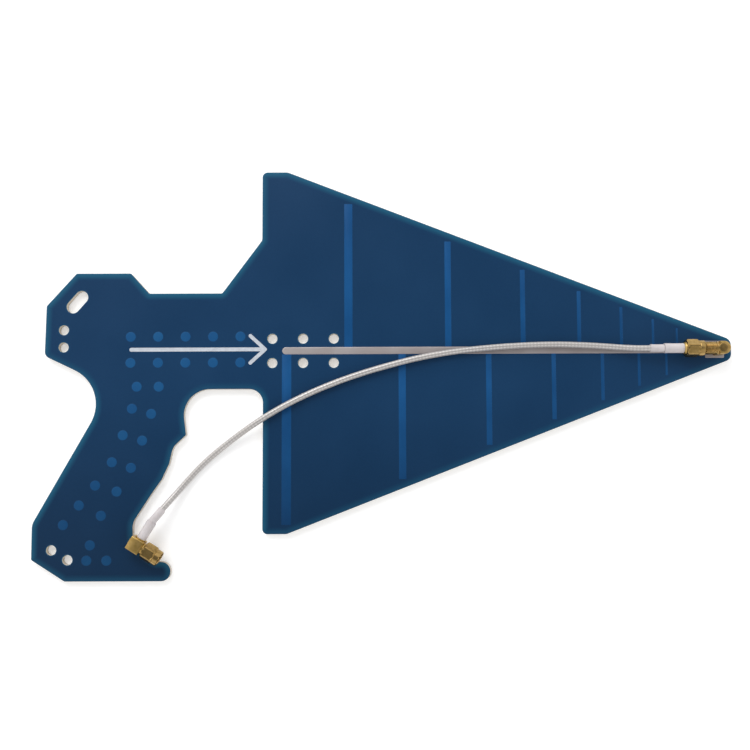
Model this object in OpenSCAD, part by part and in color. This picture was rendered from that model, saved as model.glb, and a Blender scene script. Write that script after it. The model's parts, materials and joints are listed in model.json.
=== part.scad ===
// Handheld log-periodic antenna: a thick circuit board routed to a pistol-grip outline, with a
// tapered row of printed dipole arms on both faces, a right-angle SMA jack at the tip and a short
// coaxial lead whose free right-angle plug lies in the hook at the foot of the grip.
// The board lies on its back: +X points to the tip, +Y away from the grip, +Z out of the front face.

/* [Board] */
// Length of the board, from the heel of the grip to the tip
board_length = 348.4; // [347:0.2:349]
// Height of the board, from the foot of the grip to the top of the horn
board_height = 205.1; // [204.7:0.1:205.5]
// Thickness of the laminate with its solder mask
board_t = 3.2; // [2.4:0.1:3.6]
// Height of the boom's centre line above the middle of the board
boom_y = 11.4; // [11.2:0.1:11.6]
// Rise of the horn's slanting edges for each millimetre towards the back
horn_slope = 0.388; // [0.38:0.001:0.395]
// Distance from the middle of the board to where the slanting edges would meet
apex_x = 186.8; // [186:0.1:188]

/* [Holes] */
// Diameter of the small round holes
hole_d = 5; // [4:0.1:5.2]
// Distance between hole columns of the six-hole grid
grid_pitch_x = 15.4; // [15:0.1:15.8]
// Distance between hole rows of the six-hole grid
grid_pitch_y = 12.2; // [12:0.1:12.6]
// Width of the lanyard slot
slot_w = 6.5; // [5:0.1:7]
// Distance between the centres of the lanyard slot's round ends
slot_run = 6.4; // [5:0.1:7]

/* [Printed array] */
// Number of dipole arms on each face
arm_count = 14; // [10:1:14]
// Ratio of each arm's distance from the array's apex to the one before
tau = 0.8662; // [0.864:0.0002:0.869]
// Distance from the array's apex to the longest arm
first_arm_d = 231.4; // [230.4:0.1:232.4]
// Distance from the middle of the board to the array's apex
array_apex_x = 183; // [182.6:0.1:183.4]
// How far an arm's end stays inside the board's edge
arm_margin = 4.6; // [3.5:0.1:6]
// Width of an arm at the apex, to which its share of the distance is added
arm_w_base = 0.35; // [0.2:0.05:0.5]
// Growth of an arm's width for each millimetre from the apex
arm_w_rate = 0.0189; // [0.017:0.0001:0.02]
// Width of the bare boom stripe
boom_w = 3.6; // [3:0.1:4]
// Depth of the copper in the laminate
copper_t = 0.1; // [0.08:0.01:0.2]
// How far the front copper stands proud of the mask
copper_proud = 0.04; // [0.02:0.01:0.1]
// Diameter of the round grip pads
dot_d = 5; // [4:0.1:6]

/* [Connectors] */
// Height of the tip jack's axis above the board
jack_axis_h = 5.05; // [5:0.05:5.5]
// Height of the free plug's axis above the board, half its body's height
elbow_axis_h = 3.5; // [3.45:0.05:3.6]
// Size of the coupling nuts across their flats
nut_af = 8; // [7.9:0.05:8.05]
// Length of the coupling nuts
nut_len = 9; // [8.8:0.1:9.2]
// Diameter of the coaxial lead
cable_d = 3; // [2.6:0.1:3]

/* [Hidden] */
$fn = 48;
eps = 0.5;

// ---- derived board values
left = -board_length / 2;
right = board_length / 2;
top = board_height / 2;
foot = -board_height / 2;
horn_back = -60.2;
upper_horn_back = -60.9;
horn_half = top - boom_y;
horn_corner_x = apex_x - horn_half / horn_slope;
tip_half = horn_slope * (apex_x - right);
front_z = board_t + copper_proud;
slot_centre = [-153.7, 36.4];
slot_angle = 49;
grid_centre_x = -40.2;
arm_lap = 0.5;
stripe_inset = 0.15;
knob_pair = [[-160.2, 22.2], [-160.2, 13.5]];
heel_pair = [[-164.4, -87.3], [-156.3, -92.1]];

// Corners of the outline, clockwise from the knob: [x, y, rounding radius]
OUTLINE = [
    [-154.3, 50.9, 1], [-127, 50.9, 1.5], [-117.6, 40.6, 1], [-80.9, 40.6, 1.5],
    [upper_horn_back, 67.6, 3], [upper_horn_back, top, 2.6], [horn_corner_x, top, 5],
    [right, boom_y + tip_half, 4], [right, boom_y - tip_half, 4],
    [horn_corner_x, boom_y - horn_half, 5], [horn_back, boom_y - horn_half, 2.6],
    [horn_back, -7.7, 7], [-101.2, -7.7, 13],                         // roof of the trigger gap
    [-98.4, -30.6, 0.8], [-104.8, -36.6, 7], [-106.6, -44.8, 2.5],    // finger waves of the grip
    [-110.2, -52.6, 3], [-115, -59.4, 3], [-124.3, -73.8, 8],
    [-124.2, -84.6, 4], [-113.2, -93.1, 4],                           // hook at the foot
    [-105.4, -93.1, 4.6], [-105.4, foot, 4.6],
    [-157.6, foot, 2], [left, -92, 1.5], [left, -74.6, 8],            // heel
    [-136.1, -6.8, 19], [-169.6, 9.2, 3.5], [-169.1, 34.4, 2]         // web of the hand, knob
];

// ---- connector values, measured along a plug's axis from the back of its nut
hex_len = 6.2;
nut_corner_r = 4.5;
nut_collar_r = 3.95;
nut_chamfer = 0.5;
nut_edge = 0.3;
nut_lip = 1.4;
lip_r = 2.95;
cavity_r = 3.45;
cavity_end = 4.2;
thread_r = 3.175;
thread_gap = 0.03;
neck_r = 2.88;
groove_r = 2.5;
groove_from = 1.5;
groove_to = 2.2;
ring_r = 3.35;
ring_bore_gap = 0.03;
ring_side_gap = 0.06;
ring_slot = 0.8;
face_z = 3.6;
gasket_r = 3.1;
gasket_t = 0.78;
gasket_squeeze = 0.14;
tube_r = 2.28;
tube_end = 6.18;
dielectric_r = 2.05;
dielectric_from = -0.4;
slip = 0.02;
socket_slip = 0.04;
pin_r = 0.64;
pin_tip_r = 0.46;
pin_nose_r = 0.15;
pin_nose = 0.5;
pin_end = 8.8;
ferrule_r = 2.1;
ferrule_bore_r = cable_d / 2 + 0.07;
sleeve_r = 2.42;
tail_r = 1.95;
tail_gap = 0.12;

// Tip jack and its plug: places along X
jack_z = board_t + jack_axis_h;
jack_front = 153.6;
jack_socket_depth = 1.9;
jack_flange = 0.8;
jack_flange_r = 3.3;
jack_block_from = 165.25;
jack_block_to = 170.75;
jack_block_w = 6.4;
jack_block_top = jack_z + 3.2;
jack_pin_x = jack_block_to - jack_block_w / 2;
jack_stem_r = 1.3;
jack_rod_r = 0.5;
insulator_past_pin = 1.4;
leg_r = 0.45;
leg_hole_r = 0.65;
leg_dx = 2;
leg_dy = 2.54;
pad_from = 161.2;
pad_to = 170.6;
pad_w = 8.6;
antipad_r = 1.5;
leg_pad_r = 1.05;
tongue_w = 2.2;
tongue_lead = 1.3;
nut_back_x = 149.3;
shoulder_len = 0.8;
shoulder_r = [2.5, 3.2];
plug_neck_from = -0.4;
crimp_floor = -3;
ferrule_back_x = 139.5;
sleeve_back_x = 138.8;
tail_back_x = 131.9;
plug_nut_turn = 46;

// Free right-angle plug: where its two axes cross, and the heading of its nut
elbow_at = [-120.9, -84.5, board_t + elbow_axis_h];
elbow_heading = -32;
elbow_nut_turn = 1;
elbow_back = -3.9;
elbow_front = 2.9;
elbow_half_w = 3.45;
elbow_bevel = 0.5;
elbow_nut_z = 3.9;
elbow_neck_from = -1.2;
elbow_cap_r = 2.7;
elbow_cap_t = 0.8;
elbow_cap_out = 0.35;
elbow_window_r = 2.2;
elbow_window_to = -1;
elbow_core_from = -2.2;
elbow_ledge = 0.5;
elbow_ledge_r = 2.9;
elbow_crimp_floor = 2.6;
elbow_ferrule_end = 11.4;
elbow_sleeve_end = 13.45;
elbow_dielectric_from = -2.4;
elbow_pin_from = -3.7;

// Route of the lead's centre line, from inside the free plug to inside the tip plug
lead_x = cos(elbow_heading + 90);
lead_y = sin(elbow_heading + 90);
function elbow_exit(s) = elbow_at + s * [lead_x, lead_y, 0];
ROUTE = [
    elbow_exit(4.5), elbow_exit(9), elbow_exit(13.6),
    [-111.3, -70.1, 6.5], [-108.9, -67.1, 5.9], [-106, -63.5, 4.7], [-102.4, -59.1, 3.0],
    [-97.6, -53.4, 1.9], [-91.6, -46.8, 1.6], [-84.8, -40.5, 1.7], [-77.8, -34.9, 2.3],
    [-71, -29.9, 3.5], [-64.4, -25.4, 4.7], [-56.8, -20.6, 5.1], [-48, -15.6, 4.9],
    [-37, -10.2, 4.8], [-25, -5.2, 4.8], [-12, -0.6, 4.8], [3, 3.8, 4.8],
    [19, 7.7, 4.8], [36, 10.6, 4.8], [53, 12.4, 4.8], [70, 13.5, 4.8],
    [86, 13.9, 4.8], [100, 13.5, 4.8], [110, 12.9, 4.9], [118, 12.2, 5.6],
    [125, 11.6, 7.1], [131, boom_y, jack_z], [138, boom_y, jack_z], [145, boom_y, jack_z]
];
// First and last point of the stretch under the free plug's slim sleeve
TAIL_FROM = 2;
TAIL_TO = 4;

// ---- helpers
function unit(v) = v / norm(v);
function turn(a, b) = let (d = b - a) d > 180 ? d - 360 : d < -180 ? d + 360 : d;

// Points of the arc that rounds corner c, between its neighbours p and n
function corner_arc(p, c, n) =
    let (at = [c.x, c.y], u = unit([p.x, p.y] - at), v = unit([n.x, n.y] - at),
         half = acos(u * v) / 2, hub = at + unit(u + v) * c.z / sin(half),
         from = at + u * c.z / tan(half) - hub, to = at + v * c.z / tan(half) - hub,
         a0 = atan2(from.y, from.x), sweep = turn(a0, atan2(to.y, to.x)),
         steps = max(2, ceil(abs(sweep) / 9)))
    [for (k = [0:steps]) hub + c.z * [cos(a0 + sweep * k / steps), sin(a0 + sweep * k / steps)]];

function rounded(path) =
    let (n = len(path))
    [for (i = [0:n - 1]) each corner_arc(path[(i + n - 1) % n], path[i], path[(i + 1) % n])];

// Catmull-Rom curve through a list of points, cut into steps between each pair
function blend4(a, b, c, d, t) =
    0.5 * (2 * b + (c - a) * t + (2 * a - 5 * b + 4 * c - d) * t * t
           + (3 * b - a - 3 * c + d) * t * t * t);
function smooth(pts, from, to, steps) =
    let (n = len(pts) - 1)
    concat([for (i = [from:to - 1], k = [0:steps - 1])
                blend4(pts[max(i - 1, 0)], pts[i], pts[i + 1], pts[min(i + 2, n)], k / steps)],
           [pts[to]]);

// A ring of points around a curve's point, square to its heading and level with the ground
function ring_at(pts, i, r, sides) =
    let (n = len(pts) - 1, along = unit(pts[min(i + 1, n)] - pts[max(i - 1, 0)]),
         side = unit(cross([0, 0, 1], along)), up = cross(along, side))
    [for (k = [0:sides - 1]) pts[i] + r * (cos(360 * k / sides) * side + sin(360 * k / sides) * up)];

module sweep_tube(pts, r, sides) {
    n = len(pts);
    polyhedron(
        points = [for (i = [0:n - 1]) each ring_at(pts, i, r, sides)],
        faces = concat(
            [[for (k = [0:sides - 1]) k]],
            [for (i = [0:n - 2], k = [0:sides - 1])
                [i * sides + k, (i + 1) * sides + k,
                 (i + 1) * sides + (k + 1) % sides, i * sides + (k + 1) % sides]],
            [[for (k = [sides - 1:-1:0]) (n - 1) * sides + k]]),
        convexity = 6);
}

module bar(x0, x1, y0, y1, z0, z1) {
    translate([x0, y0, z0]) cube([x1 - x0, y1 - y0, z1 - z0]);
}

// A round solid turned on the plug's axis between two stations
module turned(r, from, to) {
    translate([0, 0, from]) cylinder(r = r, h = to - from);
}

// ---- board
module small_hole(at) {
    translate([at.x, at.y, -eps]) cylinder(d = hole_d, h = board_t + 2 * eps);
}

module grid_holes() {
    for (i = [-1:1], j = [-0.5:0.5])
        small_hole([grid_centre_x + i * grid_pitch_x, boom_y + j * grid_pitch_y]);
}

module lanyard_slot() {
    translate([slot_centre.x, slot_centre.y, -eps]) rotate(slot_angle) {
        for (s = [-0.5, 0.5])
            translate([s * slot_run, 0, 0]) cylinder(d = slot_w, h = board_t + 2 * eps);
        bar(-slot_run / 2, slot_run / 2, -slot_w / 2, slot_w / 2, 0, board_t + 2 * eps);
    }
}

module at_legs() {
    for (i = [-1, 1], j = [-1, 1])
        translate([jack_pin_x + i * leg_dx, boom_y + j * leg_dy, 0]) children();
    translate([jack_pin_x, boom_y, 0]) children();
}

module board() {
    color([0.11, 0.25, 0.42]) difference() {
        linear_extrude(board_t) polygon(rounded(OUTLINE));
        lanyard_slot();
        grid_holes();
        for (at = concat(knob_pair, heel_pair)) small_hole(at);
        at_legs() translate([0, 0, -eps]) cylinder(r = leg_hole_r, h = board_t + 2 * eps, $fn = 24);
        arms(1, board_t - copper_t, board_t + eps);
        front_stripe(board_t - copper_t, board_t + eps);
        tip_pad(board_t - copper_t, board_t + eps);
        pads(board_t - copper_t, board_t + eps);
        arms(-1, -eps, copper_t);
        back_stripe(-eps, copper_t);
        leg_pads(-eps, copper_t);
    }
}

// ---- copper
function arm_d(n) = first_arm_d * pow(tau, n);
function arm_x(n) = array_apex_x - arm_d(n);
function arm_reach(n) = horn_slope * (apex_x - arm_x(n)) - arm_margin;
function arm_w(n) = arm_w_base + arm_w_rate * arm_d(n);

// Dipole arms, by turns below and above the boom; side 1 is the front, -1 its mirror on the back
module arms(side, z0, z1) {
    for (n = [0:arm_count - 1]) {
        up = (n % 2 == 0 ? -1 : 1) * side;
        translate([arm_x(n), boom_y, 0]) mirror([0, up < 0 ? 1 : 0, 0])
            bar(-arm_w(n) / 2, arm_w(n) / 2, boom_w / 2 - arm_lap, arm_reach(n), z0, z1);
    }
}

// The boom's bare stripe, round at the longest arm and square at the tip
module stripe(to, z0, z1) {
    from = arm_x(0) - arm_w(0) / 2 + stripe_inset + boom_w / 2;
    translate([from, boom_y, z0]) cylinder(d = boom_w, h = z1 - z0);
    bar(from, to, boom_y - boom_w / 2, boom_y + boom_w / 2, z0, z1);
}

module front_stripe(z0, z1) { stripe(pad_to, z0, z1); }

// On the back a slim tongue passes between the jack's ground legs to its centre pin
module back_stripe(z0, z1) {
    stripe(jack_pin_x - leg_dx - tongue_lead, z0, z1);
    bar(0, pad_to, boom_y - tongue_w / 2, boom_y + tongue_w / 2, z0, z1);
}

module tip_pad(z0, z1) {
    bar(pad_from, pad_to, boom_y - pad_w / 2, boom_y + pad_w / 2, z0, z1);
}

module leg_pads(z0, z1) {
    for (i = [-1, 1], j = [-1, 1])
        translate([jack_pin_x + i * leg_dx, boom_y + j * leg_dy, z0])
            cylinder(r = leg_pad_r, h = z1 - z0);
}

module front_boom() {
    color([0.68, 0.65, 0.6]) difference() {
        union() {
            front_stripe(board_t - copper_t, front_z);
            tip_pad(board_t - copper_t, front_z);
        }
        at_legs() cylinder(r = leg_hole_r, h = board_t + eps, $fn = 24);
        translate([jack_pin_x, boom_y, 0]) cylinder(r = antipad_r, h = board_t + eps);
    }
}

module front_elements() {
    color([0.15, 0.41, 0.68]) difference() {
        arms(1, board_t - copper_t, front_z);
        front_stripe(0, front_z + eps);
    }
}

module back_boom() {
    color([0.68, 0.65, 0.6]) difference() {
        union() {
            back_stripe(0, copper_t);
            leg_pads(0, copper_t);
        }
        at_legs() translate([0, 0, -eps]) cylinder(r = leg_hole_r, h = board_t, $fn = 24);
    }
}

module back_elements() {
    color([0.15, 0.41, 0.68]) difference() {
        arms(-1, 0, copper_t);
        back_stripe(-eps, copper_t + eps);
    }
}

// Round pads: two rows beside the arrow, then pairs down the grip
PAD_ROW = [for (i = [0:4]) -126.6 + 13.75 * i];
PADS = concat([for (x = PAD_ROW) [x, 18.7]], [for (x = PAD_ROW) [x, 5.6]],
    [[-123.3, -6.4], [-112.3, -6.4], [-125.5, -17.4], [-115.9, -20], [-129.9, -30.6],
     [-120.2, -33.3], [-135.1, -44], [-125.6, -46.8], [-143.2, -55.5], [-132.5, -58.5],
     [-151.1, -65.3], [-140.1, -70.4], [-158.8, -74.9], [-145.3, -84.9], [-146.9, -92.4],
     [-137, -92.4]]);

module pads(z0, z1) {
    for (at = PADS) translate([at.x, at.y, z0]) cylinder(d = dot_d, h = z1 - z0);
}

module grip_pads() {
    color([0.19, 0.47, 0.78]) pads(board_t - copper_t, front_z);
}

// ---- direction arrow, printed in white ink
arrow_y = 12.2;
arrow_tail_x = -126.2;
arrow_tip_x = -59.2;
arrow_w = 1.95;
arrow_head_w = 1.8;
arrow_head = [7.4, 6.8];

module stroke(a, b, w) {
    length = norm(b - a);
    translate([a.x, a.y, 0]) rotate(atan2(b.y - a.y, b.x - a.x)) {
        translate([0, -w / 2]) square([length, w]);
        circle(d = w, $fn = 24);
        translate([length, 0]) circle(d = w, $fn = 24);
    }
}

module arrow_print() {
    color([0.84, 0.85, 0.9]) translate([0, 0, board_t]) linear_extrude(copper_proud) {
        stroke([arrow_tail_x, arrow_y], [arrow_tip_x - 1, arrow_y], arrow_w);
        for (s = [-1, 1])
            stroke([arrow_tip_x, arrow_y],
                   [arrow_tip_x - arrow_head.x, arrow_y + s * arrow_head.y], arrow_head_w);
    }
}

// ---- jack at the tip
module along_x(x) { translate([x, boom_y, jack_z]) rotate([0, 90, 0]) children(); }

module jack_body() {
    color([0.83, 0.66, 0.33]) difference() {
        union() {
            along_x(jack_front) turned(thread_r, 0, jack_block_from - jack_front + eps);
            along_x(jack_block_from - jack_flange) turned(jack_flange_r, 0, jack_flange);
            bar(jack_block_from, jack_pin_x, boom_y - jack_block_w / 2, boom_y + jack_block_w / 2,
                front_z, jack_block_top);
            translate([jack_pin_x, boom_y, front_z])
                cylinder(d = jack_block_w, h = jack_block_top - front_z);
            for (i = [-1, 1], j = [-1, 1])
                translate([jack_pin_x + i * leg_dx, boom_y + j * leg_dy, 0])
                    cylinder(r = leg_r, h = front_z + eps, $fn = 24);
        }
        along_x(jack_front) turned(tube_r + socket_slip, -eps, jack_socket_depth);
        along_x(jack_front) turned(dielectric_r + slip, jack_socket_depth - eps,
                                   jack_pin_x + insulator_past_pin + 0.2 - jack_front);
        translate([jack_pin_x, boom_y, 0]) cylinder(r = jack_stem_r + slip, h = jack_z);
    }
}

module jack_insulator() {
    color([0.95, 0.95, 0.93]) difference() {
        union() {
            along_x(jack_front)
                turned(dielectric_r, jack_socket_depth, jack_pin_x + insulator_past_pin - jack_front);
            translate([jack_pin_x, boom_y, board_t]) cylinder(r = jack_stem_r, h = jack_z - board_t);
        }
        along_x(jack_front) turned(pin_r + slip, 0, jack_pin_x + jack_rod_r + 0.2 - jack_front);
        translate([jack_pin_x, boom_y, 0]) cylinder(r = jack_rod_r + slip, h = jack_z, $fn = 24);
    }
}

module jack_contact() {
    color([0.86, 0.7, 0.36]) difference() {
        union() {
            along_x(jack_front)
                turned(pin_r, jack_socket_depth + 0.2, jack_pin_x + jack_rod_r - jack_front);
            translate([jack_pin_x, boom_y, 0]) cylinder(r = jack_rod_r, h = jack_z, $fn = 24);
        }
        along_x(nut_back_x) turned(pin_tip_r + socket_slip, 0, pin_end + 0.4);
    }
}

module jack_solder() {
    color([0.75, 0.75, 0.74]) {
        for (i = [-1, 1], j = [-1, 1])
            translate([jack_pin_x + i * leg_dx, boom_y + j * leg_dy, 0])
                solder_ring(leg_r + slip, front_z);
        translate([jack_pin_x, boom_y, 0]) solder_ring(jack_rod_r + slip, board_t - copper_t);
    }
}

module solder_ring(bore, h) {
    difference() {
        cylinder(r = leg_hole_r - slip, h = h, $fn = 24);
        translate([0, 0, -eps]) cylinder(r = bore, h = h + 2 * eps, $fn = 24);
    }
}

// ---- parts shared by both plugs, turned about +Z with the back of the nut at z = 0
module coupling_nut() {
    difference() {
        union() {
            intersection() {
                cylinder(r = nut_af / sqrt(3), h = hex_len, $fn = 6);
                union() {
                    cylinder(r1 = nut_af / 2, r2 = nut_corner_r, h = nut_chamfer);
                    turned(nut_corner_r, nut_chamfer, hex_len - nut_chamfer);
                    translate([0, 0, hex_len - nut_chamfer])
                        cylinder(r1 = nut_corner_r, r2 = nut_af / 2, h = nut_chamfer);
                }
            }
            turned(nut_collar_r, hex_len - 0.1, nut_len - nut_edge);
            translate([0, 0, nut_len - nut_edge])
                cylinder(r1 = nut_collar_r, r2 = nut_collar_r - nut_edge, h = nut_edge);
        }
        turned(lip_r, -eps, nut_lip + eps);
        turned(cavity_r, nut_lip, cavity_end);
        turned(thread_r + thread_gap, cavity_end - eps, nut_len + eps);
    }
}

// Front of a plug: the neck that the nut turns on, its groove and the outer contact tube
module plug_front(from) {
    turned(neck_r, from, groove_from);
    turned(groove_r, groove_from - eps, groove_to + eps);
    turned(neck_r, groove_to, face_z);
    turned(tube_r, face_z - eps, tube_end);
}

module retaining_ring() {
    difference() {
        turned(ring_r, groove_from + ring_side_gap, groove_to - ring_side_gap);
        turned(groove_r + ring_bore_gap, 0, face_z);
        bar(0, ring_r + eps, -ring_slot / 2, ring_slot / 2, 0, face_z);
    }
}

module face_gasket(squeeze) {
    difference() {
        turned(gasket_r, face_z + slip, face_z + slip + gasket_t - squeeze);
        turned(tube_r + slip, 0, nut_len);
    }
}

module dielectric(from) {
    difference() {
        turned(dielectric_r - slip, from, tube_end - slip);
        turned(pin_r + slip, from - eps, nut_len);
    }
}

module centre_pin(from) {
    turned(pin_r, from, tube_end - slip);
    turned(pin_tip_r, tube_end - eps, pin_end - pin_nose);
    translate([0, 0, pin_end - pin_nose]) cylinder(r1 = pin_tip_r, r2 = pin_nose_r, h = pin_nose);
}

// ---- straight plug, screwed tight on the tip jack
module plug_body() {
    back = ferrule_back_x - nut_back_x;
    color([0.85, 0.69, 0.37]) along_x(nut_back_x) difference() {
        union() {
            plug_front(plug_neck_from);
            translate([0, 0, -shoulder_len - 0.1])
                cylinder(r1 = shoulder_r[0], r2 = shoulder_r[1], h = shoulder_len);
            turned(ferrule_r, back, -shoulder_len);
        }
        turned(dielectric_r, dielectric_from - 0.1, nut_len);
        turned(ferrule_bore_r, back - eps, crimp_floor);
    }
}

module plug_nut() {
    color([0.84, 0.68, 0.36]) along_x(nut_back_x) rotate(plug_nut_turn) coupling_nut();
}

module plug_ring() {
    color([0.8, 0.7, 0.5]) along_x(nut_back_x) retaining_ring();
}

module plug_gasket() {
    color([0.8, 0.3, 0.15]) along_x(nut_back_x) face_gasket(gasket_squeeze);
}

module plug_insulator() {
    color([0.95, 0.95, 0.93]) along_x(nut_back_x) dielectric(dielectric_from);
}

module plug_pin() {
    color([0.86, 0.7, 0.36]) along_x(nut_back_x) centre_pin(dielectric_from);
}

module plug_sleeve() {
    color([0.95, 0.95, 0.95]) along_x(0) difference() {
        turned(sleeve_r, sleeve_back_x, nut_back_x - shoulder_len - 0.1);
        turned(ferrule_r + slip, 0, nut_back_x);
    }
}

module plug_sleeve_tail() {
    color([0.95, 0.95, 0.95]) along_x(0) difference() {
        turned(tail_r, tail_back_x, sleeve_back_x);
        turned(cable_d / 2 + tail_gap, 0, nut_back_x);
    }
}

// ---- coaxial lead
module coax_cable() {
    color([0.86, 0.86, 0.87])
        sweep_tube(smooth(ROUTE, 0, len(ROUTE) - 1, 2), cable_d / 2, 8);
}

// ---- free right-angle plug: nut axis along local Z, lead along local X, standing on local -Y
module at_elbow() {
    translate(elbow_at) rotate([0, 0, elbow_heading]) rotate([90, 0, 90]) children();
}

// A round solid turned on the lead's axis of the free plug
module lead_turned(r, from, to) { rotate([0, 90, 0]) turned(r, from, to); }

module elbow_body() {
    c = elbow_bevel;
    w = elbow_half_w;
    h = elbow_axis_h;
    color([0.85, 0.68, 0.36]) at_elbow() difference() {
        union() {
            translate([0, 0, elbow_back]) linear_extrude(elbow_front - elbow_back)
                polygon([[-w + c, -h], [w - c, -h], [w, -h + c], [w, h - c],
                         [w - c, h], [-w + c, h], [-w, h - c], [-w, -h + c]]);
            translate([0, 0, elbow_nut_z]) plug_front(elbow_neck_from);
            lead_turned(ferrule_r, w - eps, elbow_ferrule_end);
            lead_turned(elbow_ledge_r, w - eps, w + elbow_ledge);
        }
        turned(dielectric_r, elbow_core_from, elbow_nut_z + nut_len);
        turned(elbow_cap_r, elbow_back - eps, elbow_back + elbow_cap_t);
        turned(elbow_window_r, elbow_back, elbow_window_to);
        lead_turned(ferrule_bore_r, elbow_crimp_floor, elbow_ferrule_end + eps);
    }
}

module elbow_cap() {
    color([0.84, 0.67, 0.35]) at_elbow()
        turned(elbow_cap_r - slip, elbow_back - elbow_cap_out, elbow_back + elbow_cap_t - slip);
}

module elbow_nut() {
    color([0.84, 0.68, 0.36]) at_elbow() translate([0, 0, elbow_nut_z])
        rotate(elbow_nut_turn) coupling_nut();
}

module elbow_ring() {
    color([0.8, 0.7, 0.5]) at_elbow() translate([0, 0, elbow_nut_z]) retaining_ring();
}

module elbow_gasket() {
    color([0.8, 0.3, 0.15]) at_elbow() translate([0, 0, elbow_nut_z]) face_gasket(0);
}

module elbow_insulator() {
    color([0.95, 0.95, 0.93]) at_elbow() translate([0, 0, elbow_nut_z])
        dielectric(elbow_dielectric_from);
}

module elbow_pin() {
    color([0.86, 0.7, 0.36]) at_elbow() translate([0, 0, elbow_nut_z]) centre_pin(elbow_pin_from);
}

module elbow_sleeve() {
    color([0.95, 0.95, 0.95]) at_elbow() difference() {
        lead_turned(sleeve_r, elbow_half_w + elbow_ledge, elbow_sleeve_end);
        lead_turned(ferrule_r + slip, 0, elbow_sleeve_end + eps);
    }
}

module elbow_sleeve_tail() {
    stretch = smooth(ROUTE, TAIL_FROM, TAIL_TO, 3);
    longer = smooth(ROUTE, TAIL_FROM - 1, TAIL_TO + 1, 3);
    color([0.95, 0.95, 0.95]) difference() {
        sweep_tube(stretch, tail_r, 16);
        sweep_tube(longer, cable_d / 2 + tail_gap + slip, 16);
    }
}

board();
front_boom();
front_elements();
back_boom();
back_elements();
grip_pads();
arrow_print();
jack_body();
jack_insulator();
jack_contact();
jack_solder();
plug_body();
plug_nut();
plug_ring();
plug_gasket();
plug_insulator();
plug_pin();
plug_sleeve();
plug_sleeve_tail();
coax_cable();
elbow_body();
elbow_cap();
elbow_nut();
elbow_ring();
elbow_gasket();
elbow_insulator();
elbow_pin();
elbow_sleeve();
elbow_sleeve_tail();
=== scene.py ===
"""Looks of the handheld log-periodic antenna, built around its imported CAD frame.

Sizes are in millimetres in the tables below and become metres in the meshes.
"""

import json
import math

import bmesh
import bpy
from mathutils import Matrix, Vector
from mathutils.geometry import delaunay_2d_cdt


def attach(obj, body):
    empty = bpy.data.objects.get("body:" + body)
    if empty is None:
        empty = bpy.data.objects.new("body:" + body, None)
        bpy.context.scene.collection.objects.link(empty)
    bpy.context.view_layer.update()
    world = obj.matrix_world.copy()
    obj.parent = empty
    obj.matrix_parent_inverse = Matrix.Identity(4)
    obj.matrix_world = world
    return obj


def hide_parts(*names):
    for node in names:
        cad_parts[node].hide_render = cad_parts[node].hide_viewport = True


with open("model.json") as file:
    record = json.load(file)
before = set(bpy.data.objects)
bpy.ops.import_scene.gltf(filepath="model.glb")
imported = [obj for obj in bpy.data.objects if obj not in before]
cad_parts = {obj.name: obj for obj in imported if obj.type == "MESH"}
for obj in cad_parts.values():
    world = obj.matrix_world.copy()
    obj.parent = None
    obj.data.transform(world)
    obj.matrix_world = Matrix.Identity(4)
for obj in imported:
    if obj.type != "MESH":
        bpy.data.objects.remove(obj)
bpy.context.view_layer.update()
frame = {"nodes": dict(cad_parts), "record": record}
scene = bpy.context.scene
scene.view_settings.view_transform = "Standard"

MM = 0.001
Z = Vector((0, 0, 1))

# ---------------------------------------------------------------- camera
# Straight above the board, leaning a little towards its top edge
LEAN = math.radians(3.445)
ROLL = math.radians(0.2)
DISTANCE = 0.3991
AIM = Vector((-4.25, -15.95, 3.2)) * MM

north = Vector((math.sin(ROLL), math.cos(ROLL), 0))
right = Vector((math.cos(ROLL), -math.sin(ROLL), 0))
look = math.sin(LEAN) * north - math.cos(LEAN) * Z
up = math.cos(LEAN) * north + math.sin(LEAN) * Z
lens = bpy.data.cameras.new("camera")
lens.lens, lens.sensor_width = 38.4, 36
lens.shift_y = 0.04
lens.clip_start, lens.clip_end = 0.01, 10
camera = bpy.data.objects.new("camera", lens)
scene.collection.objects.link(camera)
camera.matrix_world = (
    Matrix.Translation(AIM - DISTANCE * look)
    @ Matrix((right, up, -look)).transposed().to_4x4()
)
scene.camera = camera

# ---------------------------------------------------------------- sizes of the part
BOARD_T = 3.2
FRONT_Z = 3.24
BOOM_Y = 11.4
JACK_Z = 8.25
CABLE_R = 1.5
NUT_AF = 8.0
THREAD_PITCH = 0.7056
THREAD_DEPTH = 0.16

# Corners of the board, clockwise: x, y, rounding radius
OUTLINE = [
    (-154.3, 50.9, 1), (-127, 50.9, 1.5), (-117.6, 40.6, 1), (-80.9, 40.6, 1.5),
    (-60.9, 67.6, 3), (-60.9, 102.55, 2.6), (-48.125, 102.55, 5),
    (174.2, 16.2888, 4), (174.2, 6.5112, 4),
    (-48.125, -79.75, 5), (-60.2, -79.75, 2.6),
    (-60.2, -7.7, 7), (-101.2, -7.7, 13),
    (-98.4, -30.6, 0.8), (-104.8, -36.6, 7), (-106.6, -44.8, 2.5),
    (-110.2, -52.6, 3), (-115, -59.4, 3), (-124.3, -73.8, 8),
    (-124.2, -84.6, 4), (-113.2, -93.1, 4),
    (-105.4, -93.1, 4.6), (-105.4, -102.55, 4.6),
    (-157.6, -102.55, 2), (-174.2, -92, 1.5), (-174.2, -74.6, 8),
    (-136.1, -6.8, 19), (-169.6, 9.2, 3.5), (-169.1, 34.4, 2),
]
GRID_X, GRID_PITCH_X, GRID_HALF_PITCH_Y = -40.2, 15.4, 6.1
HOLES = [(GRID_X + GRID_PITCH_X * i, BOOM_Y + GRID_HALF_PITCH_Y * j)
         for i in (-1, 0, 1) for j in (-1, 1)]
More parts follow.
